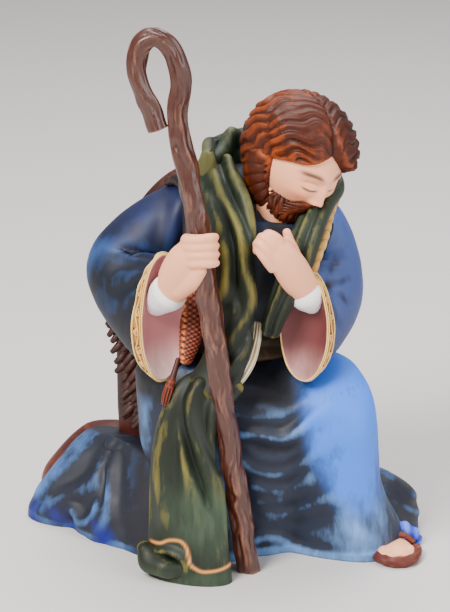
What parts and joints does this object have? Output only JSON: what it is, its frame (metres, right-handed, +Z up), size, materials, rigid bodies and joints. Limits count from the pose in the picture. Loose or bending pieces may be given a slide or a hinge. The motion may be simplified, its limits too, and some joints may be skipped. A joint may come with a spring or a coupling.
{
  "type": "kneeling bearded figurine with a shepherd's crook",
  "caption": "Kneeling bearded saint figurine in painted bisque porcelain, robed and scarfed, one fist round a separate gnarled shepherd's crook.",
  "frame": {"origin": "middle of the footprint on the ground, at the underside", "axes": "+Z up, the figure's chest and raised knee face -Y, +X to its left (the viewer's right)"},
  "size_m": [0.1692, 0.1123, 0.2264],
  "materials": {
    "painted_bisque": "matte hand-painted bisque porcelain",
    "painted_wood_brown": "satin brown paint over carved bark"
  },
  "bodies": {
    "root": {"figure": "painted_bisque", "staff": "painted_wood_brown"}
  },
  "joints": []
}
